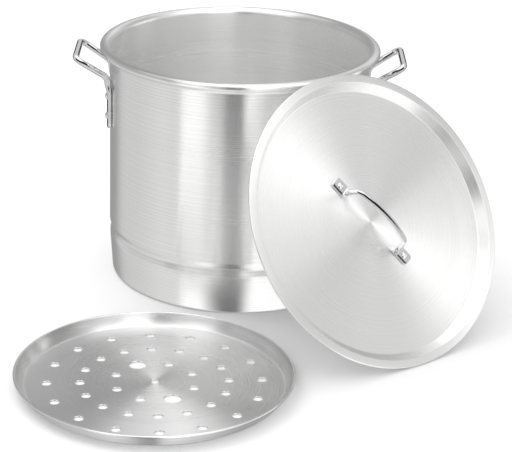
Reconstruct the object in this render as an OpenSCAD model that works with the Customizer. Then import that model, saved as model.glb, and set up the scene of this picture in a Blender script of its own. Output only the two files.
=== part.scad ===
// Brew kettle set: a straight-walled kettle with a rolled rim and a ledge groove, two riveted
// loop handles, a recessed lid leaning against its rim and a perforated false-bottom plate
// lying on the floor in front. All sizes in millimetres. The kettle's axis is Z, its front
// faces -Y, and everything stands on the floor at Z = 0.

/* [Kettle] */
// outside diameter of the rolled rim
kettle_d = 374.4; // [300:0.2:450]
// overall height from the floor to the top of the rim
kettle_h = 319.4; // [250:0.1:400]
// outside diameter of the straight wall
wall_d = 347.6; // [280:0.2:430]
// thickness of the side wall
wall_t = 1.8; // [1:0.1:4]
// thickness of the bottom
floor_t = 3; // [1:0.1:6]
// width of the oval rolled rim
bead_w = 11.6; // [10:0.1:18]
// height of the oval rolled rim
bead_h = 9.8; // [6:0.1:16]
// radius of the bend from the inside of the wall over the top of the rim
curl_r = 8.3; // [3:0.1:12]
// height where the straight wall ends above the ledge groove
crease_z = 72; // [40:0.5:120]
// height of the ledge groove
neck_z = 63.5; // [30:0.5:110]
// depth of the ledge groove below the wall
neck_in = 2.9; // [1:0.1:8]
// height of the widest place under the groove
bulge_z = 53; // [25:0.5:100]
// how far that place stays inside the wall line
bulge_in = 0.6; // [0:0.1:4]
// how far the foot of the kettle tapers in from the wall line
base_in = 4.2; // [0:0.1:10]
// radius of the bottom corner
base_corner = 5; // [1:0.5:20]

/* [Loop handles] */
// diameter of the bent rod
rod_d = 8.6; // [5:0.1:12]
// reach of the grip bar from the kettle's axis
grip_reach = 216.9; // [190:0.1:260]
// height of the grip bar
grip_z = 304.7; // [250:0.1:340]
// corner to corner length of the grip bar
grip_w = 89; // [60:1:140]
// angle between the handle's middle and each foot
foot_angle = 12.2; // [8:0.1:30]
// height where each arm leaves its foot
arm_z = 278; // [220:0.5:320]
// width of the flattened foot
foot_w = 14; // [8:0.5:24]
// thickness of the flattened foot
foot_t = 5.4; // [2:0.1:8]
// height of the foot's rounded lower end
foot_low_z = 207.7; // [120:0.1:260]
// length of the foot up to the centre of its rounded upper end
foot_len = 54; // [40:0.5:80]
// where the rod leaves the foot, above its lower end and clear of the upper rivet's head
rod_from = 51; // [40:0.5:80]
// height of the upper rivet
rivet_top_z = 252.8; // [150:0.1:300]
// spacing of the two rivets
rivet_gap = 27.3; // [15:0.1:50]
// diameter of the rivet head
rivet_head_d = 10.4; // [6:0.1:16]
// height of the rivet head
rivet_head_h = 3.1; // [1:0.1:6]
// diameter of the rivet shank
rivet_d = 4; // [3:0.1:8]

/* [Lid] */
// outside diameter of the lid
lid_d = 380.6; // [300:0.2:460]
// thickness of the lid sheet
lid_t = 1.2; // [0.8:0.1:3]
// diameter of the hem round the lid's edge
hem_d = 3.2; // [2:0.1:6]
// inside diameter of the flat flange
flange_in_d = 359.2; // [280:0.2:450]
// diameter of the recessed floor at the foot of the step
recess_d = 341.6; // [270:0.2:440]
// depth of the recess at the foot of the step
recess_edge = 11.5; // [5:0.1:25]
// depth of the recess at the centre
recess_mid = 14.2; // [5:0.1:30]
// lean of the lid from lying flat
lid_tilt = 57.64; // [30:0.01:85]
// direction the lid's upper side faces, round the kettle
lid_turn = -51.84; // [-180:0.01:180]
// position of the lid's centre to the right of the kettle's axis
lid_x = 177.7; // [100:0.1:260]
// position of the lid's centre in front of the kettle's axis
lid_front = 226.9; // [150:0.1:300]
// turn of the lid's handle about the lid's axis
lid_handle_turn = 30.6; // [-90:0.1:90]

/* [Lid handle] */
// spacing of the two rivets
lid_rivet_span = 123.2; // [80:0.2:160]
// overall length of the handle
lid_handle_len = 143; // [100:0.5:190]
// width of each flattened ear
ear_w = 16; // [10:0.5:24]
// thickness of each ear
ear_t = 3; // [1.5:0.1:5]
// diameter of the lid handle's rod
lid_rod_d = 8; // [5:0.1:12]
// height of the grip's centreline over the lid's centre
lid_grip_h = 32.2; // [20:0.1:60]
// diameter of the lid rivet head
lid_rivet_head_d = 8.6; // [5:0.1:14]

/* [False-bottom plate] */
// outside diameter of the raised lip
plate_d = 341.6; // [260:0.2:420]
// height of the lip
plate_h = 17.2; // [8:0.1:40]
// diameter of the flat the plate stands on
plate_foot_d = 321.6; // [240:0.2:400]
// thickness of the plate
plate_t = 1.6; // [1:0.1:4]
// thickness of the rounded edge of the lip
lip_d = 2.8; // [1.6:0.1:5]
// position of the plate's centre to the left of the kettle's axis
plate_left = 93.1; // [0:0.1:200]
// position of the plate's centre in front of the kettle's axis
plate_front = 376.2; // [365:0.1:500]
// direction of the first outer hole
hole_turn = 117.8; // [0:0.1:180]
// radius of the outer ring of sixteen holes
ring_outer = 130.8; // [100:0.1:150]
// radius of the middle ring of sixteen holes
ring_mid = 90.5; // [70:0.1:110]
// radius of the inner ring of eight holes
ring_inner = 50.1; // [30:0.1:65]
// diameter of a drain hole
drain_d = 12.3; // [6:0.1:18]
// diameter of the two finger holes in the inner ring
finger_d = 22; // [14:0.1:28]
// diameter of the centre hole
centre_d = 10.6; // [5:0.1:20]

/* [Hidden] */
$fn = 72;
wall_r = wall_d / 2;
bead_r = bead_h / 2;
bead_out = kettle_d / 2 - bead_r;
bead_in = kettle_d / 2 - bead_w + bead_r;
bead_z = kettle_h - bead_r;
rod_r = rod_d / 2;
rod_x = (wall_r + rod_r + 0.6) * cos(foot_angle);
rod_y = (wall_r + rod_r + 0.6) * sin(foot_angle);
fit_gap = 0.05;
alu = [0.78, 0.79, 0.80];
steel = [0.86, 0.87, 0.89];
lid_r = lid_d / 2;
hem_r = hem_d / 2;
lid_z = (lid_r - hem_r) * sin(lid_tilt) + hem_r * cos(lid_tilt) + hem_r;
ear_in = 51;
rivet_at = lid_rivet_span / 2;
ear_z = -recess_mid + (recess_mid - recess_edge) * (lid_handle_len / recess_d) + 0.03;
grip_z0 = lid_grip_h - recess_mid;

function unit(v) = v / norm(v);
function arc_pts(cx, cy, r, a0, a1, n) =
    [for (i = [0:n]) let (a = a0 + (a1 - a0) * i / n) [cx + r * cos(a), cy + r * sin(a)]];

// straight round bar from a to b, run on by the lengths ea and eb past its ends
module bar(a, b, d, ea, eb) {
    v = b - a;
    translate(a - unit(v) * ea) rotate([0, acos(v[2] / norm(v)), atan2(v[1], v[0])])
        cylinder(h = norm(v) + ea + eb, d = d);
}

// length of a bend's leg at corner b, for bend radius r
function leg(a, b, c, r) =
    let (u = unit(a - b), w = unit(c - b), half = acos(u * w) / 2) r / tan(half);

// bend of radius r at corner b, between the legs to a and c
module bend(a, b, c, r, d) {
    u = unit(a - b);
    w = unit(c - b);
    half = acos(u * w) / 2;
    o = b + unit(u + w) * r / sin(half);
    x = unit(b + u * r / tan(half) - o);
    k = unit(cross(x, b + w * r / tan(half) - o));
    y = cross(k, x);
    multmatrix([[x[0], y[0], k[0], o[0]], [x[1], y[1], k[1], o[1]], [x[2], y[2], k[2], o[2]]])
        rotate_extrude(angle = 180 - 2 * half) translate([r, 0]) circle(d = d);
}

// bent rod through the corners in p, with the bend radii in r; the bends are a hair thicker,
// as a bent rod is, and the straights run on into them
module bent_rod(p, r, d) {
    n = len(p) - 1;
    for (i = [0:n - 1]) {
        s = unit(p[i + 1] - p[i]);
        la = i == 0 ? 0 : leg(p[i - 1], p[i], p[i + 1], r[i - 1]);
        lb = i == n - 1 ? 0 : leg(p[i], p[i + 1], p[i + 2], r[i]);
        bar(p[i] + s * la, p[i + 1] - s * lb, d, i == 0 ? 0 : 0.8, i == n - 1 ? 0 : 0.8);
    }
    for (i = [1:n - 1]) bend(p[i - 1], p[i], p[i + 1], r[i - 1], d + 0.3);
}

// domed rivet: head above Z = 0, shank below
module rivet(head_d, head_h, shank_d, shank_l) {
    ball_r = (head_d * head_d / 4 + head_h * head_h) / (2 * head_h);
    rotate_extrude() intersection() {
        translate([0, head_h - ball_r]) circle(r = ball_r);
        square([head_d, head_h]);
    }
    translate([0, 0, -shank_l]) cylinder(h = shank_l, d = shank_d);
}

// place children on the kettle wall, X pointing out of it
module on_wall(side, foot, z) {
    rotate([0, 0, side + foot * foot_angle]) translate([wall_r, 0, z]) children();
}

module kettle_body() {
    color(alu) difference() {
        rotate_extrude() polygon(concat(
            [[0, 0]],
            arc_pts(wall_r - base_in - base_corner, base_corner, base_corner, -90, 0, 5),
            [[wall_r - bulge_in - 0.3, bulge_z - 6], [wall_r - bulge_in, bulge_z - 1.5],
             [wall_r - bulge_in - 0.2, bulge_z + 1.5], [wall_r - neck_in, neck_z - 2],
             [wall_r - neck_in, neck_z + 1.5], [wall_r - 0.6, crease_z - 1.5], [wall_r, crease_z + 2],
             [wall_r, bead_z - 11]],
            arc_pts(bead_in, bead_z, bead_r, -140, -90, 3),
            arc_pts(bead_out, bead_z, bead_r, -90, 90, 14),
            arc_pts(wall_r - wall_t + curl_r, kettle_h - curl_r, curl_r, 90, 180, 7),
            [[wall_r - wall_t, crease_z + 2],
             [wall_r - wall_t - 0.6, crease_z - 1.5],
             [wall_r - wall_t - neck_in, neck_z + 1.5], [wall_r - wall_t - neck_in, neck_z - 2],
             [wall_r - wall_t - bulge_in - 0.2, bulge_z + 1], [wall_r - wall_t - bulge_in, bulge_z - 1.5],
             [wall_r - wall_t - base_in, base_corner + 2]],
            arc_pts(wall_r - base_in - wall_t - 3, floor_t + 3, 3, 0, -90, 4),
            [[0, floor_t]]));
        for (side = [0, 180], foot = [-1, 1], i = [0, 1])
            on_wall(side, foot, rivet_top_z - i * rivet_gap)
                rotate([0, 90, 0]) translate([0, 0, -6]) cylinder(h = 12, d = rivet_d + 2 * fit_gap);
    }
}

// bent rod handle with two flattened, drilled feet
module loop_handle(side) {
    color(steel) {
        difference() {
            union() {
                rotate([0, 0, side]) bent_rod([
                    [rod_x, -rod_y, foot_low_z + rod_from], [rod_x, -rod_y, arm_z],
                    [grip_reach, -grip_w / 2, grip_z], [grip_reach, grip_w / 2, grip_z],
                    [rod_x, rod_y, arm_z], [rod_x, rod_y, foot_low_z + rod_from]], [13, 10, 10, 13], rod_d);
                for (foot = [-1, 1]) on_wall(side, foot, 0) {
                    translate([fit_gap, -foot_w / 2, foot_low_z + foot_w / 2])
                        cube([foot_t, foot_w, foot_len - foot_w / 2]);
                    for (z = [foot_w / 2, foot_len]) translate([fit_gap, 0, foot_low_z + z]) rotate([0, 90, 0])
                        cylinder(h = foot_t, d = foot_w);
                }
            }
            for (foot = [-1, 1], i = [0, 1]) on_wall(side, foot, rivet_top_z - i * rivet_gap)
                rotate([0, 90, 0]) translate([0, 0, -2]) cylinder(h = foot_t + 4, d = rivet_d + 2 * fit_gap);
        }
    }
}

module left_handle() loop_handle(180);
module right_handle() loop_handle(0);

// the two rivets of one foot
module foot_rivets(side, foot) {
    color(steel) for (i = [0, 1]) on_wall(side, foot, rivet_top_z - i * rivet_gap)
        translate([foot_t + 2 * fit_gap, 0, 0]) rotate([0, 90, 0])
            rivet(rivet_head_d, rivet_head_h, rivet_d, foot_t + wall_t);
}

module left_front_rivets() foot_rivets(180, 1);
module left_rear_rivets() foot_rivets(180, -1);
module right_front_rivets() foot_rivets(0, -1);
module right_rear_rivets() foot_rivets(0, 1);

// place children in the lid's own frame: Z out of its upper side, X down its slope
module on_lid() {
    translate([lid_x, -lid_front, lid_z]) rotate([0, lid_tilt, lid_turn]) children();
}

module lid_cover() {
    color(alu) on_lid() difference() {
        rotate_extrude() polygon(concat(
            [[0, -recess_mid], [recess_d / 2 - 1.6, -recess_edge - 0.1],
             [recess_d / 2, -recess_edge + 0.6], [recess_d / 2 + 1.2, -recess_edge + 2],
             [flange_in_d / 2 - 1.1, -1.4], [flange_in_d / 2, -0.3], [flange_in_d / 2 + 1.4, 0]],
            arc_pts(lid_r - hem_r, -hem_r, hem_r, 90, -180 - asin(1 - lid_t / hem_r), 10),
            [[flange_in_d / 2 + 1.6, -lid_t],
             [flange_in_d / 2 + 0.2, -2], [recess_d / 2 + 2, -recess_edge + 0.8],
             [recess_d / 2 + 0.8, -recess_edge - 0.9], [recess_d / 2 - 1, -recess_edge - lid_t],
             [0, -recess_mid - lid_t]]));
        for (s = [-1, 1]) rotate([0, 0, lid_handle_turn]) translate([s * rivet_at, 0, -recess_mid - 6])
            cylinder(h = 12, d = 4 + 2 * fit_gap);
    }
}

module lid_handle() {
    color(steel) on_lid() rotate([0, 0, lid_handle_turn]) difference() {
        union() {
            bent_rod([[-ear_in - 4, 0, ear_z + 4], [-ear_in + 0.8, 0, ear_z + 4],
                [-42.6, 0, grip_z0 - 6.4], [0, 0, grip_z0 + 5.4], [42.6, 0, grip_z0 - 6.4],
                [ear_in - 0.8, 0, ear_z + 4], [ear_in + 4, 0, ear_z + 4]], [4.2, 9, 110, 9, 4.2], lid_rod_d);
            for (s = [-1, 1]) {
                translate([s * (ear_in + lid_handle_len / 2 - 3.5) / 2, 0, ear_z + ear_t / 2])
                    cube([lid_handle_len / 2 - 3.5 - ear_in, ear_w, ear_t], center = true);
                translate([s * (lid_handle_len / 2 - 3.5), 0, ear_z + ear_t / 2])
                    cube([7, ear_w - 7, ear_t], center = true);
                for (t = [-1, 1]) translate([s * (lid_handle_len / 2 - 3.5), t * (ear_w / 2 - 3.5), ear_z])
                    cylinder(h = ear_t, r = 3.5);
            }
        }
        for (s = [-1, 1]) translate([s * rivet_at, 0, ear_z - 2])
            cylinder(h = ear_t + 4, d = 4 + 2 * fit_gap);
    }
}

// one lid rivet: s = -1 is the upper one, s = 1 the lower one
module lid_rivet(s) {
    color(steel) on_lid() rotate([0, 0, lid_handle_turn])
        translate([s * rivet_at, 0, ear_z + ear_t + fit_gap])
            rivet(lid_rivet_head_d, 2.6, 4, ear_t + lid_t + 0.2);
}

module lid_upper_rivet() lid_rivet(-1);
module lid_lower_rivet() lid_rivet(1);

module steamer_plate() {
    foot_r = plate_foot_d / 2;
    lip_x = plate_d / 2 - lip_d / 2;
    lip_z = plate_h - lip_d / 2;
    color(alu) translate([-plate_left, -plate_front, 0]) difference() {
        rotate_extrude() {
            polygon(concat([[0, 0]], arc_pts(foot_r - 3, 4, 4, -90, -40, 3),
                [[lip_x + 0.9, lip_z], [lip_x - 0.9, lip_z]],
                arc_pts(foot_r - 4.2, plate_t + 3.4, 3.4, -40, -90, 3), [[0, plate_t]]));
            translate([lip_x, lip_z]) circle(d = lip_d);
        }
        translate([0, 0, -1]) {
            cylinder(h = 5, d = centre_d);
            for (i = [0:15], r = [ring_outer, ring_mid])
                rotate([0, 0, hole_turn + i * 22.5]) translate([r, 0]) cylinder(h = 5, d = drain_d);
            for (i = [0:7]) rotate([0, 0, hole_turn + i * 45]) translate([ring_inner, 0])
                cylinder(h = 5, d = i % 4 == 0 ? finger_d : drain_d);
        }
    }
}

kettle_body();
left_handle();
right_handle();
left_front_rivets();
left_rear_rivets();
right_front_rivets();
right_rear_rivets();
lid_cover();
lid_handle();
lid_upper_rivet();
lid_lower_rivet();
steamer_plate();
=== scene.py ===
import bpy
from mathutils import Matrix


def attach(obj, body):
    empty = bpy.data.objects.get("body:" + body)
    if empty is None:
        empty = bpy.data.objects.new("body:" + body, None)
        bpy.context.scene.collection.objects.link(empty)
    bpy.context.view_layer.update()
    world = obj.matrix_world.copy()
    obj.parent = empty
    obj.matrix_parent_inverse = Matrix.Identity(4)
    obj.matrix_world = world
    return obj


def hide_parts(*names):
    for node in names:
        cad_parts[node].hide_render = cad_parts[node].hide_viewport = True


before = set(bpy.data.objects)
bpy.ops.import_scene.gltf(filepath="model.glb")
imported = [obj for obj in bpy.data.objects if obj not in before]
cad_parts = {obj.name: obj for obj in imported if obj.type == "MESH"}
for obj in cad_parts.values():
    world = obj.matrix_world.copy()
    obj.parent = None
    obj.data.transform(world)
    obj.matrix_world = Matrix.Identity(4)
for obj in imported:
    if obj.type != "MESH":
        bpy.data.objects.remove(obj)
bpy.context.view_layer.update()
import math

import bmesh
import bpy
import numpy as np
from mathutils import Matrix, Vector

# ---------------------------------------------------------------- sizes
# In millimetres and degrees, as in the CAD source; MM turns them into the scene's metres. The kettle stands
# on the Z axis, and Z values are heights above the floor. The lid's own Z values start at the top of its
# flange.
MM = 0.001

# kettle shell
RIM_R = 187.2                     # over the rolled rim
KETTLE_H = 319.4
WALL_R = 173.8                    # outside of the straight wall
WALL_T = 1.8
FLOOR_T = 3.0
BEAD_W = 11.6                     # width and height of the rolled rim
BEAD_H = 9.8
BEAD_R = BEAD_H / 2
BEAD_Z = KETTLE_H - BEAD_H / 2
BEAD_OUT = RIM_R - BEAD_R         # centres of the rim's outer and inner rounds
BEAD_IN = RIM_R - BEAD_W + BEAD_R
CURL_R = 8.3                      # the inside wall curls over into the rim
CREASE_Z = 72.0                   # lower end of the straight wall
NECK_Z = 63.5                     # the ledge groove, and how far it lies in from the wall
NECK_IN = 2.9
BULGE_Z = 53.0                    # top of the foot, below the groove
BULGE_IN = 0.6
BASE_IN = 4.2                     # how far the foot tapers in down to the base

# loop handles: a round rod, flattened at both ends into straps that are riveted to the wall
ROD_D = 8.6
ROD_GAP = 0.6                     # between the rod and the wall
GRIP_REACH = 216.9                # from the kettle's axis to the grip
GRIP_Z = 304.7
GRIP_W = 89.0
FOOT_ANGLE = 12.2                 # from the middle of a handle round to each of its straps
FOOT_W = 14.0
FOOT_T = 5.4
FOOT_GAP = 0.05                   # between a strap and the wall
FOOT_LOW_Z = 207.7
FOOT_TOP_Z = 257                  # where the strap leaves the wall
ROD_LOW_Z = 268                   # where the rod runs upright again
ARM_Z = 278.0                     # where the rod turns outward
FLATTEN_Z = 254                   # the rod goes from strap to round over FLATTEN_H from here up
FLATTEN_H = 20
ALL_ROUND_Z = 280                 # above this, and this far out from the wall, the rod is round
ALL_ROUND_OUT = 12
LOOP_CORNERS = [20, 20, 13, 10.5]   # how its corners are rounded, from a strap's end to the grip
ROUND = 2.0                       # squareness of a round section
FOOT_SQUARE = 1.6                 # how much squarer a strap's section is
THIN_END = 0.75                   # a strap's thickness at its very end

# rivets
WALL_RIVET_HEAD = (10.4, 3.1)     # diameter and height
LID_RIVET_HEAD = (8.6, 2.6)
RIVET_SHANK_D = 4.0
RIVET_TOP_Z = 252.8               # upper rivet of each strap
RIVET_GAP = 27.3                  # and how far below it the lower one is

# lid
LID_R = 190.3
LID_T = 1.2
HEM_R = 1.6
FLANGE_IN = 179.6                 # inner edge of the flat flange
RECESS_R = 170.8                  # radius of the floor, and its depth at the edge and in the middle
RECESS_EDGE = 11.5
RECESS_MID = 14.2
LID_TILT = 57.64
LID_TURN = -51.84
LID_X = 177.7                     # middle of the leaning lid
LID_FRONT = 226.9

# lid handle: a round rod, bent to an arch and flattened at both ends into ears
LID_HANDLE_TURN = 30.6
LID_HANDLE_LEN = 143.0
LID_ROD_D = 8.0
RIVET_AT = 61.6                   # from the middle of the handle to each rivet
EAR_IN = 51.0                     # from the middle to the inner end of an ear
EAR_W = 16.0
EAR_T = 3.0
EAR_CORNER = 3.5
EAR_BLEND_X = 46.5                # the rod flattens to an ear over EAR_BLEND from here outward,
EAR_BLEND_UP = 5                  # and from this far over the ear downward
EAR_BLEND = 6
EAR_SQUARE = 3.0                  # how much squarer an ear's section is
ARCH_H = 32.2                     # the grip's height over the middle of the lid's floor
SHOULDER_X = 42.6                 # the arch's corners: its two shoulders, and its crown before it is rounded
SHOULDER_DROP = 6.4
CROWN_RISE = 5.4
ARCH_CORNERS = [8, 5, 9.5, 110, 9.5, 5, 8]

# perforated plate
PLATE_R = 170.8
PLATE_H = 17.2
PLATE_FOOT = 160.8                # radius of the flat floor
PLATE_T = 1.6
LIP_R = 1.4
PLATE_LEFT = 93.1                 # middle of the plate
PLATE_FRONT = 376.2
PLATE_INNER = 150                 # inside this radius the floor is one sheet with holes
HOLE_TURN = 117.8                 # where the rings of holes start
RING_OUTER = 130.8
RING_MID = 90.5
RING_INNER = 50.1
DRAIN_D = 12.3
FINGER_D = 22.0
CENTRE_D = 10.6
# the wall of a hole, from the top face down: how much wider it is than the hole, and at what height
HOLE_EDGE = ((0.22, PLATE_T), (0.06, PLATE_T - 0.07), (0.0, PLATE_T - 0.24), (0.0, 0.2), (0.15, 0.0))

# how finely the pieces are divided
SHELL_SIDES = 256
PLATE_SIDES = 224
RIVET_SIDES = 40
FINGER_SIDES = 40
DRAIN_SIDES = 28
BAR_SIDES = 32
DOME_POINTS = 14
CORNER_STEP = 6                   # degrees between the points of a rounded corner
ARCH_STEP = 4
LOOP_SPACING = 1.6                # mm between the sections of the two kinds of handle
ARCH_SPACING = 1.2
ON_AXIS = 1e-6                    # nearer to the axis than this is on it
FLAT_NORMAL = 0.99999             # faces that lie this flat are shaded flat

LID_Z = ((LID_R - HEM_R) * math.sin(math.radians(LID_TILT)) + HEM_R * math.cos(math.radians(LID_TILT))
         + HEM_R)
LID_FRAME = (Matrix.Translation((LID_X * MM, -LID_FRONT * MM, LID_Z * MM))
             @ Matrix.Rotation(math.radians(LID_TURN), 4, "Z")
             @ Matrix.Rotation(math.radians(LID_TILT), 4, "Y"))
HANDLE_FRAME = LID_FRAME @ Matrix.Rotation(math.radians(LID_HANDLE_TURN), 4, "Z")
PLATE_PLACE = (-PLATE_LEFT * MM, -PLATE_FRONT * MM, 0)


# ---------------------------------------------------------------- shape helpers
def unit(v):
    return v / np.linalg.norm(v)


def smooth(t):
    """An eased step from 0 to 1."""
    t = max(0.0, min(1.0, t))
    return t * t * (3 - 2 * t)


def rounded(points, radii, step=CORNER_STEP):
    """The open path through points with its inner corners rounded; works in 2-D and 3-D."""
    p = [np.array(q, float) for q in points]
    out = [p[0]]
    for a, b, c, r in zip(p[:-2], p[1:-1], p[2:], radii):
        u, w = unit(a - b), unit(c - b)
        half = math.acos(max(-1, min(1, float(u @ w)))) / 2
        if r <= 0 or half > math.radians(89.7):
            out.append(b)
            continue
        tangent = r / math.tan(half)
        centre = b + unit(u + w) * r / math.sin(half)
        start, end = b + u * tangent - centre, b + w * tangent - centre
        turn = math.pi - 2 * half
        n = max(2, int(math.degrees(turn) / step) + 1)
        for i in range(n + 1):
            t = i / n
            spoke = math.sin((1 - t) * turn) * start + math.sin(t * turn) * end
            out.append(centre + spoke / math.sin(turn))
    out.append(p[-1])
    return out


def arc(cx, cz, r, start, end, n):
    """Points of an arc about (cx, cz) from start to end degrees, in n steps."""
    return [(cx + r * math.cos(math.radians(start + (end - start) * i / n)),
             cz + r * math.sin(math.radians(start + (end - start) * i / n))) for i in range(n + 1)]


def densify(path, spacing):
    """The same path with points at most about spacing apart."""
    out = []
    for a, b in zip(path[:-1], path[1:]):
        a, b = np.array(a, float), np.array(b, float)
        n = max(1, int(np.linalg.norm(b - a) / spacing))
        out += [a + (b - a) * i / n for i in range(n)]
    return out + [np.array(path[-1], float)]


def length_of(profile):
    """A profile's length in metres."""
    return sum(math.dist(a, b) for a, b in zip(profile[:-1], profile[1:])) * MM


def ring_of(bm, x, y, z, r, n):
    """n new vertices in a level circle, all in mm."""
    return [bm.verts.new(((x + r * math.cos(2 * math.pi * k / n)) * MM,
                          (y + r * math.sin(2 * math.pi * k / n)) * MM, z * MM)) for k in range(n)]


def bridge(bm, low, high):
    """Closes the strip between two rings of vertices."""
    n = len(low)
    for k in range(n):
        j = (k + 1) % n
        bm.faces.new((low[k], low[j], high[j], high[k]))


def lathe(bm, profile, segments):
    """Turns a profile of (radius, height) in mm about Z. The map runs round the piece and along its profile,
    there in metres."""
    uv = bm.loops.layers.uv.new("UV")
    length, run = [0.0], 0.0
    for a, b in zip(profile[:-1], profile[1:]):
        run += math.hypot(b[0] - a[0], b[1] - a[1])
        length.append(run)
    rings = []
    for r, z in profile:
        if r < ON_AXIS:
            rings.append([bm.verts.new((0, 0, z * MM))])
        else:
            rings.append([bm.verts.new((r * MM * math.cos(2 * math.pi * i / segments),
                                        r * MM * math.sin(2 * math.pi * i / segments), z * MM))
                          for i in range(segments)])
    for k, (low, high) in enumerate(zip(rings[:-1], rings[1:])):
        for i in range(segments):
            j = (i + 1) % segments
            corners = []
            for verts, index, ahead in [(low, i, 0), (low, j, 1), (high, j, 1), (high, i, 0)]:
                v = verts[index % len(verts)]
                if v not in [c[0] for c in corners]:
                    corners.append((v, ahead, k if verts is low else k + 1))
            if len(corners) < 3:
                continue
            face = bm.faces.new([c[0] for c in corners])
            for loop, (_, ahead, level) in zip(face.loops, corners):
                loop[uv].uv = ((i + ahead) / segments, length[level] * MM)


def sweep(bm, path, normal_of, size_of):
    """A bar along path; size_of(i) gives half width, half thickness and squareness of its section."""
    pts = [np.array(p, float) for p in path]
    rings = []
    for i, p in enumerate(pts):
        t = unit(pts[min(i + 1, len(pts) - 1)] - pts[max(i - 1, 0)])
        n = normal_of(p)
        n = unit(n - (n @ t) * t)
        s = np.cross(t, n)
        half_w, half_t, power = size_of(i)
        ring = []
        for k in range(BAR_SIDES):
            a = 2 * math.pi * k / BAR_SIDES
            c, d = math.cos(a), math.sin(a)
            x = half_w * math.copysign(abs(c) ** (2 / power), c)
            y = half_t * math.copysign(abs(d) ** (2 / power), d)
            ring.append(bm.verts.new(tuple((p + s * x + n * y) * MM)))
        rings.append(ring)
    for low, high in zip(rings[:-1], rings[1:]):
        bridge(bm, low, high)
    bm.faces.new(rings[0][::-1])
    bm.faces.new(rings[-1])


def new_object(name, bm, matrix, material, body, replaced, location=(0, 0, 0)):
    """Makes the piece, riding on body in the place of the CAD nodes replaced."""
    mesh = bpy.data.meshes.new(name)
    bm.transform(matrix)
    bmesh.ops.recalc_face_normals(bm, faces=bm.faces)
    for f in bm.faces:
        f.smooth = abs(f.normal.z) < FLAT_NORMAL
    bm.to_mesh(mesh)
    bm.free()
    obj = bpy.data.objects.new(name, mesh)
    obj.location = location
    bpy.context.scene.collection.objects.link(obj)
    mesh.materials.append(material)
    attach(obj, body)
    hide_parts(*replaced)


# ---------------------------------------------------------------- materials
class Nodes:
    """Short calls for building a node tree."""

    def __init__(self, tree):
        self.tree = tree
        tree.nodes.clear()

    def add(self, kind, **inputs):
        """A new node. _name sets a property, i3 input number 3, and any other name the input called that."""
        node = self.tree.nodes.new(kind)
        for key, value in inputs.items():
            if key.startswith("_"):
                setattr(node, key[1:], value)
        for key, value in inputs.items():
            if not key.startswith("_"):
                numbered = key[0] == "i" and key[1:].isdigit()
                self.set(node.inputs[int(key[1:]) if numbered else key], value)
        return node

    def set(self, socket, value):
        if isinstance(value, bpy.types.NodeSocket):
            self.tree.links.new(value, socket)
        else:
            socket.default_value = value

    def math(self, op, a, b=0.0, c=0.0):
        return self.add("ShaderNodeMath", _operation=op, i0=a, i1=b, i2=c).outputs[0]

    def mix(self, factor, a, b):
        return self.add("ShaderNodeMix", _data_type="FLOAT", i0=factor, i2=a, i3=b).outputs[0]

    def mix_colour(self, factor, a, b):
        return self.add("ShaderNodeMix", _data_type="RGBA", Factor=factor,
                        i6=(*a, 1), i7=(*b, 1)).outputs[2]

    def split(self, vector):
        return self.add("ShaderNodeSeparateXYZ", Vector=vector).outputs

    def ramp(self, value, low, high, out_low=0.0, out_high=1.0):
        """A smooth step from out_low to out_high as value goes from low to high."""
        return self.add("ShaderNodeMapRange", _interpolation_type="SMOOTHSTEP",
                        i0=value, i1=low, i2=high, i3=out_low, i4=out_high).outputs[0]

    def noise(self, vector, scale, detail, rough):
        return self.add("ShaderNodeTexNoise", Vector=vector, Scale=scale, Detail=detail,
                        Roughness=rough).outputs[0]

    def noise_along(self, w, scale, detail, rough):
        return self.add("ShaderNodeTexNoise", _noise_dimensions="1D", W=w, Scale=scale, Detail=detail,
                        Roughness=rough).outputs[0]

    def vary(self, value, noise, amount):
        """value, moved up and down by amount times a noise that averages a half."""
        return self.math("MULTIPLY_ADD", self.math("SUBTRACT", noise, 0.5), amount, value)

    def finish_material(self, shader):
        out = self.add("ShaderNodeOutputMaterial")
        self.set(out.inputs["Surface"], shader.outputs[0])


def new_material(name):
    mat = bpy.data.materials.new(name)
    mat.use_nodes = True
    return mat, Nodes(mat.node_tree)


LINE_PITCH = 1.8          # mm between the turned lines
FINE_LINES = 2.6          # the finest lines are this many times closer
BAND_PITCH = 14           # and the broad bands this many times wider apart
FINE_CONTRAST = 0.9       # how far the finest lines move the colour
MID_COLOUR = 0.55         # where the colour lies between darkest and lightest, on average
CLOUD_SCALE = 9.0         # large soft patches, and small specks, by number to the metre
SPECK_SCALE = 60.0
BAND_ROUGH = 0.06         # what bands, fine lines and specks add to the roughness
FINE_ROUGH = 0.03
SPECK_ROUGH = 0.008
BRUSHED = 1.0             # how far highlights stretch across the lines
BRUSH_TURN = 0.25         # a quarter turn, so that they stretch across them and not along
INSIDE_EDGE = 0.008       # metres over which the kettle's inside changes to its duller metal


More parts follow.
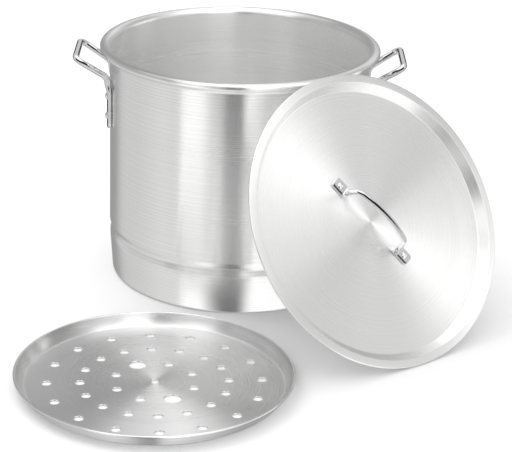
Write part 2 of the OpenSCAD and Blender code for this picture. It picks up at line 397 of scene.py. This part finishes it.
def metal(name, base, tint, rough, lines, depth, vary, by_map=False, inside_from=None, inside_matt=0.0):
    """Turned metal. Its lines run round the axis, LINE_PITCH apart and depth mm deep. base and tint are its
    lightest and darkest colours, lines is how far the lines go between them, and vary how far bands and
    clouds do. Lines follow the map where by_map is on, and otherwise the object's own Z axis. Past
    inside_from metres along the map the metal is duller by inside_matt."""
    mat, n = new_material(name)
    place = n.add("ShaderNodeTexCoord").outputs
    if by_map:
        u, along, _ = n.split(place["UV"])
        turn = n.math("MULTIPLY", u, 2 * math.pi)
    else:
        x, y, z = n.split(place["Object"])
        radius = n.math("SQRT", n.math("MULTIPLY_ADD", x, x, n.math("MULTIPLY", y, y)))
        along = n.math("ADD", radius, z)
        turn = n.math("ARCTAN2", y, x)
    along = n.math("MULTIPLY", along, 1 / MM)

    rings = n.noise_along(along, 1 / LINE_PITCH, 3.0, 0.6)
    fine = n.noise_along(along, FINE_LINES / LINE_PITCH, 1.0, 0.5)
    round_axis = n.add("ShaderNodeCombineXYZ", X=n.math("MULTIPLY", n.math("COSINE", turn), 0.5),
                       Y=n.math("MULTIPLY", n.math("SINE", turn), 0.5),
                       Z=n.math("MULTIPLY", along, 1 / (LINE_PITCH * BAND_PITCH)))
    bands = n.noise(round_axis.outputs[0], 1.0, 1.0, 0.6)
    cloud = n.noise(place["Object"], CLOUD_SCALE, 3.0, 0.5)
    specks = n.noise(place["Object"], SPECK_SCALE, 4.0, 0.65)

    shade = n.vary(MID_COLOUR, fine, FINE_CONTRAST)
    shade = n.vary(shade, rings, lines)
    shade = n.vary(shade, bands, vary)
    shade = n.vary(shade, cloud, vary)
    shade = n.add("ShaderNodeClamp", Value=shade).outputs[0]
    roughness = n.vary(rough, bands, BAND_ROUGH)
    roughness = n.vary(roughness, fine, FINE_ROUGH)
    roughness = n.math("MULTIPLY_ADD", n.ramp(specks, 0.60, 0.78), SPECK_ROUGH, roughness)
    bump = n.add("ShaderNodeBump", Strength=1.0, Distance=depth * MM, Height=rings)
    if by_map:
        tangent = n.add("ShaderNodeTangent", _direction_type="UV_MAP", _uv_map="UV")
    else:
        tangent = n.add("ShaderNodeTangent", _direction_type="RADIAL", _axis="Z")

    shader = n.add("ShaderNodeBsdfPrincipled", Metallic=1.0, Anisotropic=BRUSHED)
    shader.inputs["Anisotropic Rotation"].default_value = BRUSH_TURN
    if inside_matt:
        within = n.ramp(n.split(place["UV"])[1], inside_from, inside_from + INSIDE_EDGE)
        n.set(shader.inputs["Metallic"], n.math("MULTIPLY_ADD", within, -inside_matt, 1.0))
    n.set(shader.inputs["Base Color"], n.mix_colour(shade, tint, base))
    n.set(shader.inputs["Roughness"], roughness)
    n.set(shader.inputs["Normal"], bump.outputs[0])
    n.set(shader.inputs["Tangent"], tangent.outputs[0])
    n.finish_material(shader)
    return mat


def polished(name, base, tint, rough, smudge, depth):
    """Polished metal, rough where it is clean and smudge more where it has been handled, with faint dents
    depth mm deep."""
    mat, n = new_material(name)
    place = n.add("ShaderNodeTexCoord").outputs["Object"]
    cloud = n.noise(place, 60.0, 3.0, 0.5)
    fine = n.noise(place, 240.0, 2.0, 0.5)
    marks = n.math("MULTIPLY", n.ramp(cloud, 0.60, 0.78), n.ramp(fine, 0.4, 0.7))
    bump = n.add("ShaderNodeBump", Strength=0.2, Distance=depth * MM, Height=cloud)
    shader = n.add("ShaderNodeBsdfPrincipled", Metallic=1.0)
    n.set(shader.inputs["Base Color"], n.mix_colour(n.ramp(cloud, 0.3, 0.7), tint, base))
    n.set(shader.inputs["Roughness"], n.math("MULTIPLY_ADD", marks, smudge, rough))
    n.set(shader.inputs["Normal"], bump.outputs[0])
    n.finish_material(shader)
    return mat


# ---------------------------------------------------------------- kettle
# profiles of the rim, of the outside from the middle of the base up to it, and of the inside from the rim
# down to the middle of the floor
rim = (arc(BEAD_IN, BEAD_Z, BEAD_R, -140, -90, 8) + arc(BEAD_OUT, BEAD_Z, BEAD_R, -90, 90, 30)
       + arc(WALL_R - WALL_T + CURL_R, KETTLE_H - CURL_R, CURL_R, 90, 180, 16))
outside = rounded([(0, 0),
                   (WALL_R - BASE_IN, 0),                       # edge of the base
                   (WALL_R - BULGE_IN - 0.3, BULGE_Z - 6),      # foot, and its bulging top
                   (WALL_R - BULGE_IN, BULGE_Z - 1.5),
                   (WALL_R - BULGE_IN - 0.2, BULGE_Z + 1.5),
                   (WALL_R - NECK_IN, NECK_Z - 2),              # ledge groove
                   (WALL_R - NECK_IN, NECK_Z + 1.5),
                   (WALL_R, CREASE_Z),                          # straight wall
                   (WALL_R, BEAD_Z - 11),
                   rim[0]],
                  [5.0, 3.0, 3.0, 1.2, 1.6, 1.6, 1.2, 6.0])[:-1]
INNER_R = WALL_R - WALL_T
inside = rounded([rim[-1],
                  (INNER_R, CREASE_Z),
                  (INNER_R - NECK_IN, NECK_Z + 1.5),
                  (INNER_R - NECK_IN, NECK_Z - 2),
                  (INNER_R - BULGE_IN - 0.2, BULGE_Z + 1),
                  (INNER_R - BASE_IN, FLOOR_T),
                  (0, FLOOR_T)],
                 [1.2, 1.6, 1.6, 3.0, 5.0])[1:]

lid_metal = metal("lid_aluminium", base=(0.95, 0.95, 0.945), tint=(0.86, 0.86, 0.855), rough=0.27,
                  lines=1.1, depth=0.008, vary=0.2, by_map=True)
plate_metal = metal("plate_aluminium", base=(0.93, 0.93, 0.93), tint=(0.82, 0.82, 0.815), rough=0.28,
                    lines=1.3, depth=0.010, vary=0.25)
kettle_metal = metal("spun_aluminium", base=(0.97, 0.97, 0.965), tint=(0.82, 0.82, 0.815), rough=0.26,
                     lines=1.5, depth=0.030, vary=0.2,
                     inside_from=length_of(outside + rim) - INSIDE_EDGE / 2, inside_matt=0.24)
chrome = polished("polished_steel", base=(0.93, 0.93, 0.94), tint=(0.86, 0.86, 0.87), rough=0.0012,
                  smudge=0.002, depth=0.006)
rivet_metal = polished("rivet_metal", base=(0.90, 0.90, 0.905), tint=(0.80, 0.80, 0.81), rough=0.18,
                       smudge=0.12, depth=0.02)

bm = bmesh.new()
lathe(bm, outside + rim + inside, SHELL_SIDES)
new_object("kettle_shell", bm, Matrix.Identity(4), kettle_metal, "kettle",
           ["kettle_body"])


# ---------------------------------------------------------------- loop handles
def loop_path():
    """The middle of the rod, from the end of one strap over the grip to the end of the other."""
    ahead, aside = math.cos(math.radians(FOOT_ANGLE)), math.sin(math.radians(FOOT_ANGLE))
    rod = WALL_R + ROD_D / 2 + ROD_GAP
    strap = WALL_R + FOOT_T / 2 + FOOT_GAP
    side = [(strap * ahead, -strap * aside, FOOT_LOW_Z),        # strap
            (strap * ahead, -strap * aside, FOOT_TOP_Z),
            (rod * ahead, -rod * aside, ROD_LOW_Z),             # rod, stepped out from the wall
            (rod * ahead, -rod * aside, ARM_Z),
            (GRIP_REACH, -GRIP_W / 2, GRIP_Z)]                  # end of the arm
    other = [(x, -y, z) for x, y, z in side[::-1]]
    return rounded(side + other, LOOP_CORNERS + LOOP_CORNERS[::-1])


LOOP = densify(loop_path(), LOOP_SPACING)


def loop_size(i):
    """The section of a loop handle at point i of its path: round, or flattened where it is a strap."""
    x, _, z = LOOP[i]
    if abs(x) > WALL_R + ALL_ROUND_OUT or z > ALL_ROUND_Z:
        return ROD_D / 2, ROD_D / 2, ROUND
    flat = 1 - smooth((z - FLATTEN_Z) / FLATTEN_H)
    half_w = ROD_D / 2 + (FOOT_W / 2 - ROD_D / 2) * flat
    half_t = ROD_D / 2 + (FOOT_T / 2 - ROD_D / 2) * flat
    low = z - FOOT_LOW_Z
    if low < FOOT_W / 2:
        half_w *= math.sqrt(max(0.02, 1 - (1 - low / (FOOT_W / 2)) ** 2))
        half_t *= THIN_END + (1 - THIN_END) * min(1.0, low / 2.0)
    return half_w, half_t, ROUND + FOOT_SQUARE * flat


def radial(p):
    """Straight out from the kettle's axis."""
    return np.array([p[0], p[1], 0.0]) / math.hypot(p[0], p[1])


for side, turn in (("left", 180), ("right", 0)):
    bm = bmesh.new()
    sweep(bm, LOOP, radial, loop_size)
    new_object(side + "_loop_handle", bm, Matrix.Rotation(math.radians(turn), 4, "Z"), chrome, "kettle",
               [side + "_handle"])


# ---------------------------------------------------------------- rivets
def rivet_profile(head, shank_l):
    """A domed head over Z = 0 with a softened edge, and its shank below."""
    head_d, head_h = head
    r = head_d / 2
    shank_r = RIVET_SHANK_D / 2
    ball = (head_d ** 2 / 4 + head_h ** 2) / (2 * head_h)
    dome = [(ball * math.sin(a), head_h - ball + ball * math.cos(a))
            for a in np.linspace(0, math.asin(min(1, (r - 0.3) / ball)), DOME_POINTS)]
    return dome + [(r - 0.1, 0.35), (r, 0.1), (r - 0.15, 0.0), (shank_r, 0.0), (shank_r, -shank_l + 0.2),
                   (shank_r - 0.2, -shank_l), (0, -shank_l)]


def wall_frame(angle, z, out):
    """A frame on the wall with its Z axis pointing outward."""
    return (Matrix.Rotation(math.radians(angle), 4, "Z")
            @ Matrix.Translation(((WALL_R + out) * MM, 0, z * MM))
            @ Matrix.Rotation(math.radians(90), 4, "Y"))


for name, angle in (("left_front", 180 + FOOT_ANGLE), ("left_rear", 180 - FOOT_ANGLE),
                    ("right_front", -FOOT_ANGLE), ("right_rear", FOOT_ANGLE)):
    for i in (0, 1):
        bm = bmesh.new()
        lathe(bm, rivet_profile(WALL_RIVET_HEAD, FOOT_T + WALL_T + 0.05), RIVET_SIDES)
        on_wall = wall_frame(angle, RIVET_TOP_Z - i * RIVET_GAP, FOOT_T + 0.1)
        new_object(f"{name}_rivet_{i + 1}", bm, on_wall, rivet_metal, "kettle",
                   [name + "_rivets"])

# ---------------------------------------------------------------- lid
# profiles of the upper face from the middle out, of the hemmed edge, and of the lower face back in
top = rounded([(0, -RECESS_MID), (RECESS_R, -RECESS_EDGE), (FLANGE_IN, 0), (LID_R - HEM_R, 0)], [2.6, 1.8])
hem_end = -180 - math.degrees(math.asin(1 - LID_T / HEM_R))
hem = arc(LID_R - HEM_R, -HEM_R, HEM_R, 90, hem_end, 24)
under = rounded([hem[-1],
                 (FLANGE_IN + 0.6, -LID_T),
                 (RECESS_R + 1.0, -RECESS_EDGE - LID_T),
                 (0, -RECESS_MID - LID_T)],
                [2.8, 3.4])
bm = bmesh.new()
lathe(bm, top[:-1] + hem + under[1:], SHELL_SIDES)
new_object("lid_shell", bm, LID_FRAME, lid_metal, "lid", ["lid_cover"])

# the ears lie on the lid's floor, which slopes up from its middle
EAR_Z = -RECESS_MID + (RECESS_MID - RECESS_EDGE) * (LID_HANDLE_LEN / 2 / RECESS_R) + 0.03
GRIP_Z0 = ARCH_H - RECESS_MID
half_arch = [(-LID_HANDLE_LEN / 2, 0, EAR_Z + EAR_T / 2),       # ear
             (-EAR_IN - 1.5, 0, EAR_Z + EAR_T / 2),
             (-EAR_IN + 2.2, 0, EAR_Z + 4),                     # leg
             (-SHOULDER_X, 0, GRIP_Z0 - SHOULDER_DROP)]
crown = [(0, 0, GRIP_Z0 + CROWN_RISE)]
other_half = [(-x, y, z) for x, y, z in half_arch[::-1]]
ARCH = densify(rounded(half_arch + crown + other_half, ARCH_CORNERS, ARCH_STEP), ARCH_SPACING)


def arch_size(i):
    """The section of the lid handle at point i of its path: round, or flattened where it is an ear."""
    x, z = abs(ARCH[i][0]), ARCH[i][2]
    flat = smooth((x - EAR_BLEND_X) / EAR_BLEND) * (1 - smooth((z - EAR_Z - EAR_BLEND_UP) / EAR_BLEND))
    half_w = LID_ROD_D / 2 + (EAR_W / 2 - LID_ROD_D / 2) * flat
    half_t = LID_ROD_D / 2 + (EAR_T / 2 - LID_ROD_D / 2) * flat
    end = LID_HANDLE_LEN / 2 - x
    if end < EAR_CORNER:
        half_w -= EAR_CORNER - math.sqrt(max(0.0, EAR_CORNER ** 2 - (EAR_CORNER - end) ** 2))
    return half_w, half_t, ROUND + EAR_SQUARE * flat


def upward(p):
    """Up, leaning a hair so that it is never along the bar."""
    return np.array([0.0, 0.0, 1.0]) + 1e-3 * unit(p + 1e-6)


bm = bmesh.new()
sweep(bm, ARCH, upward, arch_size)
new_object("lid_arch_handle", bm, HANDLE_FRAME, chrome, "lid", ["lid_handle"])
for name, end in (("lid_upper_rivet", -1), ("lid_lower_rivet", 1)):
    bm = bmesh.new()
    lathe(bm, rivet_profile(LID_RIVET_HEAD, EAR_T + LID_T + 0.2), RIVET_SIDES)
    on_ear = Matrix.Translation((end * RIVET_AT * MM, 0, (EAR_Z + EAR_T + 0.05) * MM))
    new_object(name + "_head", bm, HANDLE_FRAME @ on_ear, rivet_metal, "lid", [name])

# ---------------------------------------------------------------- plate
# a centre hole, two rings of 16 drain holes, and an inner ring of 8 of which two opposite ones are finger
# holes
HOLES = [(0.0, 0.0, CENTRE_D / 2)]
for i in range(16):
    a = math.radians(HOLE_TURN + 22.5 * i)
    HOLES += [(r * math.cos(a), r * math.sin(a), DRAIN_D / 2) for r in (RING_OUTER, RING_MID)]
for i in range(8):
    a = math.radians(HOLE_TURN + 45 * i)
    diameter = FINGER_D if i % 4 == 0 else DRAIN_D
    HOLES.append((RING_INNER * math.cos(a), RING_INNER * math.sin(a), diameter / 2))


def inner_ring(bm, z):
    """The vertices of the lathed rim where the sheet with the holes begins, in order round it."""
    ring = [v for v in bm.verts if abs(v.co.z - z * MM) < 1e-7
            and abs(math.hypot(v.co.x, v.co.y) - PLATE_INNER * MM) < 1e-6]
    return sorted(ring, key=lambda v: math.atan2(v.co.y, v.co.x))


def plate_mesh():
    """A pan whose floor is cut by rounded-edged holes."""
    bm = bmesh.new()
    lip_x, lip_z = PLATE_R - LIP_R, PLATE_H - LIP_R
    foot = rounded([(PLATE_INNER, 0), (PLATE_FOOT - 1.2, 0), (lip_x + 0.9, lip_z)], [5.0])
    back = rounded([(lip_x - 1.0, lip_z), (PLATE_FOOT - 2.4, PLATE_T), (PLATE_INNER, PLATE_T)], [4.0])
    edge = arc(lip_x, lip_z, LIP_R, -35, 215, 18)
    lathe(bm, foot[:-1] + edge + back[1:], PLATE_SIDES)
    uv = bm.loops.layers.uv.get("UV")
    top_loops = [inner_ring(bm, PLATE_T)]
    low_loops = [inner_ring(bm, 0)]
    for x, y, r in HOLES:
        n = FINGER_SIDES if r > 8 else DRAIN_SIDES
        rings = [ring_of(bm, x, y, z, r + wider, n) for wider, z in HOLE_EDGE]
        for low, high in zip(rings[:-1], rings[1:]):
            bridge(bm, low, high)
        top_loops.append(rings[0])
        low_loops.append(rings[-1])
    for loops, facing in ((top_loops, 1), (low_loops, -1)):
        edges = []
        for loop in loops:
            for k, v in enumerate(loop):
                w = loop[(k + 1) % len(loop)]
                edges.append(bm.edges.get((v, w)) or bm.edges.new((v, w)))
        bmesh.ops.triangle_fill(bm, use_beauty=True, use_dissolve=False, edges=edges, normal=(0, 0, facing))
    for f in bm.faces:
        for loop in f.loops:
            if loop[uv].uv.length < 1e-12:
                x, y = loop.vert.co.x, loop.vert.co.y
                loop[uv].uv = (math.atan2(y, x) / (2 * math.pi) + 0.5, math.hypot(x, y))
    return bm


new_object("perforated_plate", plate_mesh(), Matrix.Identity(4), plate_metal, "plate",
           ["steamer_plate"], PLATE_PLACE)

# ---------------------------------------------------------------- floor
FLOOR_REACH = 9.0         # metres to each side
FLOOR_DROP = 0.0004       # so that the floor isn't level with the undersides that stand on it
FLOOR_COLOUR = (0.86, 0.86, 0.86, 1)

bm = bmesh.new()
bmesh.ops.create_grid(bm, x_segments=2, y_segments=2, size=FLOOR_REACH)
floor_mesh = bpy.data.meshes.new("studio_floor")
bm.to_mesh(floor_mesh)
bm.free()
floor = bpy.data.objects.new("studio_floor", floor_mesh)
floor.location = (0, 0, -FLOOR_DROP)
bpy.context.scene.collection.objects.link(floor)
floor_material, floor_nodes = new_material("studio_floor")
floor_nodes.finish_material(floor_nodes.add("ShaderNodeBsdfDiffuse", Color=FLOOR_COLOUR))
floor_mesh.materials.append(floor_material)
floor.visible_glossy = False

# ---------------------------------------------------------------- studio light
# What the metal mirrors, painted over the tent wall in this order. A panel has its place round the set in
# degrees to the left of the camera and the softness of its two edges, the same for its height in degrees,
# and its brightness: left from, to, softness of each, up from, to, softness of each, brightness.
SATIN_TENT = 0.84
SATIN_PANELS = [
    (84, 150, 50, 20, -95, 95, 1, 1, 0.69),       # tent wall, darker to the far left
    (133, 230, 16, 1, -95, 60, 1, 30, 0.36),      # dark gap, far left
    (-230, -128, 1, 20, -95, 12, 1, 20, 0.36),    # the same gap, far right
    (27, 51.8, 18, 0.6, -95, 70, 1, 20, 1.33),    # strip light, front left
    (-70, -8, 30, 9, -95, 70, 1, 20, 1.26),       # broad panel, front right
    (58, 150, 10, 10, 6, 46, 14, 10, 0.42),       # dark room over the left wall
    (14, 62, 12, 10, -2, 19, 12, 8, 0.30),        # and over the strip light
    (-130, -92, 20, 24, -95, 8, 1, 16, 0.31),     # black flag, low on the right
    (-122, -60, 20, 20, 4, 44, 12, 14, 0.74),     # softbox, right
    (-62, -30, 10, 12, 4, 27, 10, 8, 0.58),       # gap in front of it
    (-145, -103, 14, 8, 20, 52, 8, 10, 0.40),     # gap behind it
    (-84, -20, 14, 20, 40, 80, 10, 10, 1.55),     # its upper neighbour, towards the front
    (-112, -84, 10, 8, -16, 19, 10, 8, 1.4),      # its lower neighbour, towards the back
    (-12, 25, 18, 24, -80, -24, 10, 14, 0.10),    # dark front edge of the table
    (-4.5, 13, 8, 12, -42, 34, 20, 16, 0.17),     # dark gap under the camera
    (-400, 400, 1, 1, 58, 95, 14, 1, 2.15),       # softbox overhead
    (92, 145, 24, 20, 46, 84, 8, 8, 0.8),         # its darker end on the left
    (-145, -96, 20, 24, 50, 84, 8, 8, 0.8),       # and on the right
]
MIRROR_TENT = 0.62
MIRROR_PANELS = [
    (-400, 400, 1, 1, 50, 95, 6, 1, 1.1),         # softbox overhead
    (-76, 76, 10, 10, 0, 47, 4, 5, 0.012),        # dark room behind the camera
    (-80, 80, 12, 12, -95, -66, 1, 6, 0.10),      # edge of the table
    (125, 235, 6, 1, -40, 8, 6, 6, 0.05),         # dark gap behind the set, from the left
    (-235, -125, 1, 6, -40, 8, 6, 6, 0.05),       # and from the right
]
EVEN = 1.16               # what lights matt surfaces
BACKDROP = 1.3            # what the camera sees past the floor

world = bpy.data.worlds.new("studio")
bpy.context.scene.world = world
world.use_nodes = True
sky = Nodes(world.node_tree)
x, y, z = sky.split(sky.add("ShaderNodeTexCoord").outputs["Generated"])
facing = sky.math("ARCTAN2", sky.math("MULTIPLY", x, -1.0), sky.math("MULTIPLY", y, -1.0))
round_left = sky.math("MULTIPLY", facing, 180 / math.pi)
height = sky.math("MULTIPLY", sky.math("ARCSINE", z), 180 / math.pi)


def between(value, low, high, soft_low, soft_high):
    rise = sky.ramp(value, low - soft_low / 2, low + soft_low / 2)
    fall = sky.ramp(value, high - soft_high / 2, high + soft_high / 2, 1.0, 0.0)
    return sky.math("MULTIPLY", rise, fall)


def painted(level, panels):
    """The brightness of the surroundings: level, with the panels painted over it in order."""
    for a0, a1, sa0, sa1, e0, e1, se0, se1, bright in panels:
        across = between(round_left, a0, a1, sa0, sa1)
        upright = between(height, e0, e1, se0, se1)
        level = sky.mix(sky.math("MULTIPLY", across, upright), level, bright)
    return level


# satin metal mirrors the first set of panels and chrome the second
ray = sky.add("ShaderNodeLightPath").outputs
satin_sees = painted(SATIN_TENT, SATIN_PANELS)
chrome_sees = painted(MIRROR_TENT, MIRROR_PANELS)
mirrored = sky.mix(ray["Is Singular Ray"], satin_sees, chrome_sees)
diffuse = sky.mix(ray["Is Camera Ray"], EVEN, BACKDROP)
strength = sky.mix(ray["Is Glossy Ray"], diffuse, mirrored)
background = sky.add("ShaderNodeBackground", Color=(1, 1, 1, 1), Strength=strength)
sky.set(sky.add("ShaderNodeOutputWorld").inputs["Surface"], background.outputs[0])

# the key light only shades the floor and matt surfaces; the metal doesn't mirror it
KEY_PLACE = Vector((-1.4, 0.9, 2.2))
KEY_TARGET = Vector((0, -0.1, 0))
KEY_SIZE = 2.0
KEY_WATTS = 24
light = bpy.data.lights.new("key", "AREA")
light.shape = "RECTANGLE"
light.size = KEY_SIZE
light.size_y = KEY_SIZE
light.energy = KEY_WATTS
key = bpy.data.objects.new("key", light)
key.location = KEY_PLACE
key.rotation_euler = (KEY_TARGET - KEY_PLACE).to_track_quat("-Z", "Y").to_euler()
bpy.context.scene.collection.objects.link(key)
key.visible_glossy = False

# ---------------------------------------------------------------- camera
FOCAL_PX = 1902.17        # for an image IMAGE_W pixels wide
IMAGE_W = 512
SENSOR_MM = 36.0
CAM_BACK = 2.4468         # metres in front of the kettle's axis, and above the floor
CAM_UP = 1.0406
YAW = math.radians(0.66)
PITCH = math.radians(21.90)
ROLL = math.radians(1.77)

forward = Vector((math.sin(YAW) * math.cos(PITCH), math.cos(YAW) * math.cos(PITCH), -math.sin(PITCH)))
level_right = Vector((math.cos(YAW), -math.sin(YAW), 0))
level_up = level_right.cross(forward)
right = math.cos(ROLL) * level_right + math.sin(ROLL) * level_up
up = -math.sin(ROLL) * level_right + math.cos(ROLL) * level_up
camera = bpy.data.objects.new("camera", bpy.data.cameras.new("camera"))
camera.data.sensor_width = SENSOR_MM
camera.data.lens = FOCAL_PX / IMAGE_W * SENSOR_MM
camera.data.clip_start = 0.05
camera.data.clip_end = 60
camera.matrix_world = Matrix(((right.x, up.x, -forward.x, 0),
                              (right.y, up.y, -forward.y, -CAM_BACK),
                              (right.z, up.z, -forward.z, CAM_UP),
                              (0, 0, 0, 1)))
bpy.context.scene.collection.objects.link(camera)
bpy.context.scene.camera = camera
bpy.context.scene.view_settings.view_transform = "Standard"
bpy.context.scene.view_settings.look = "None"
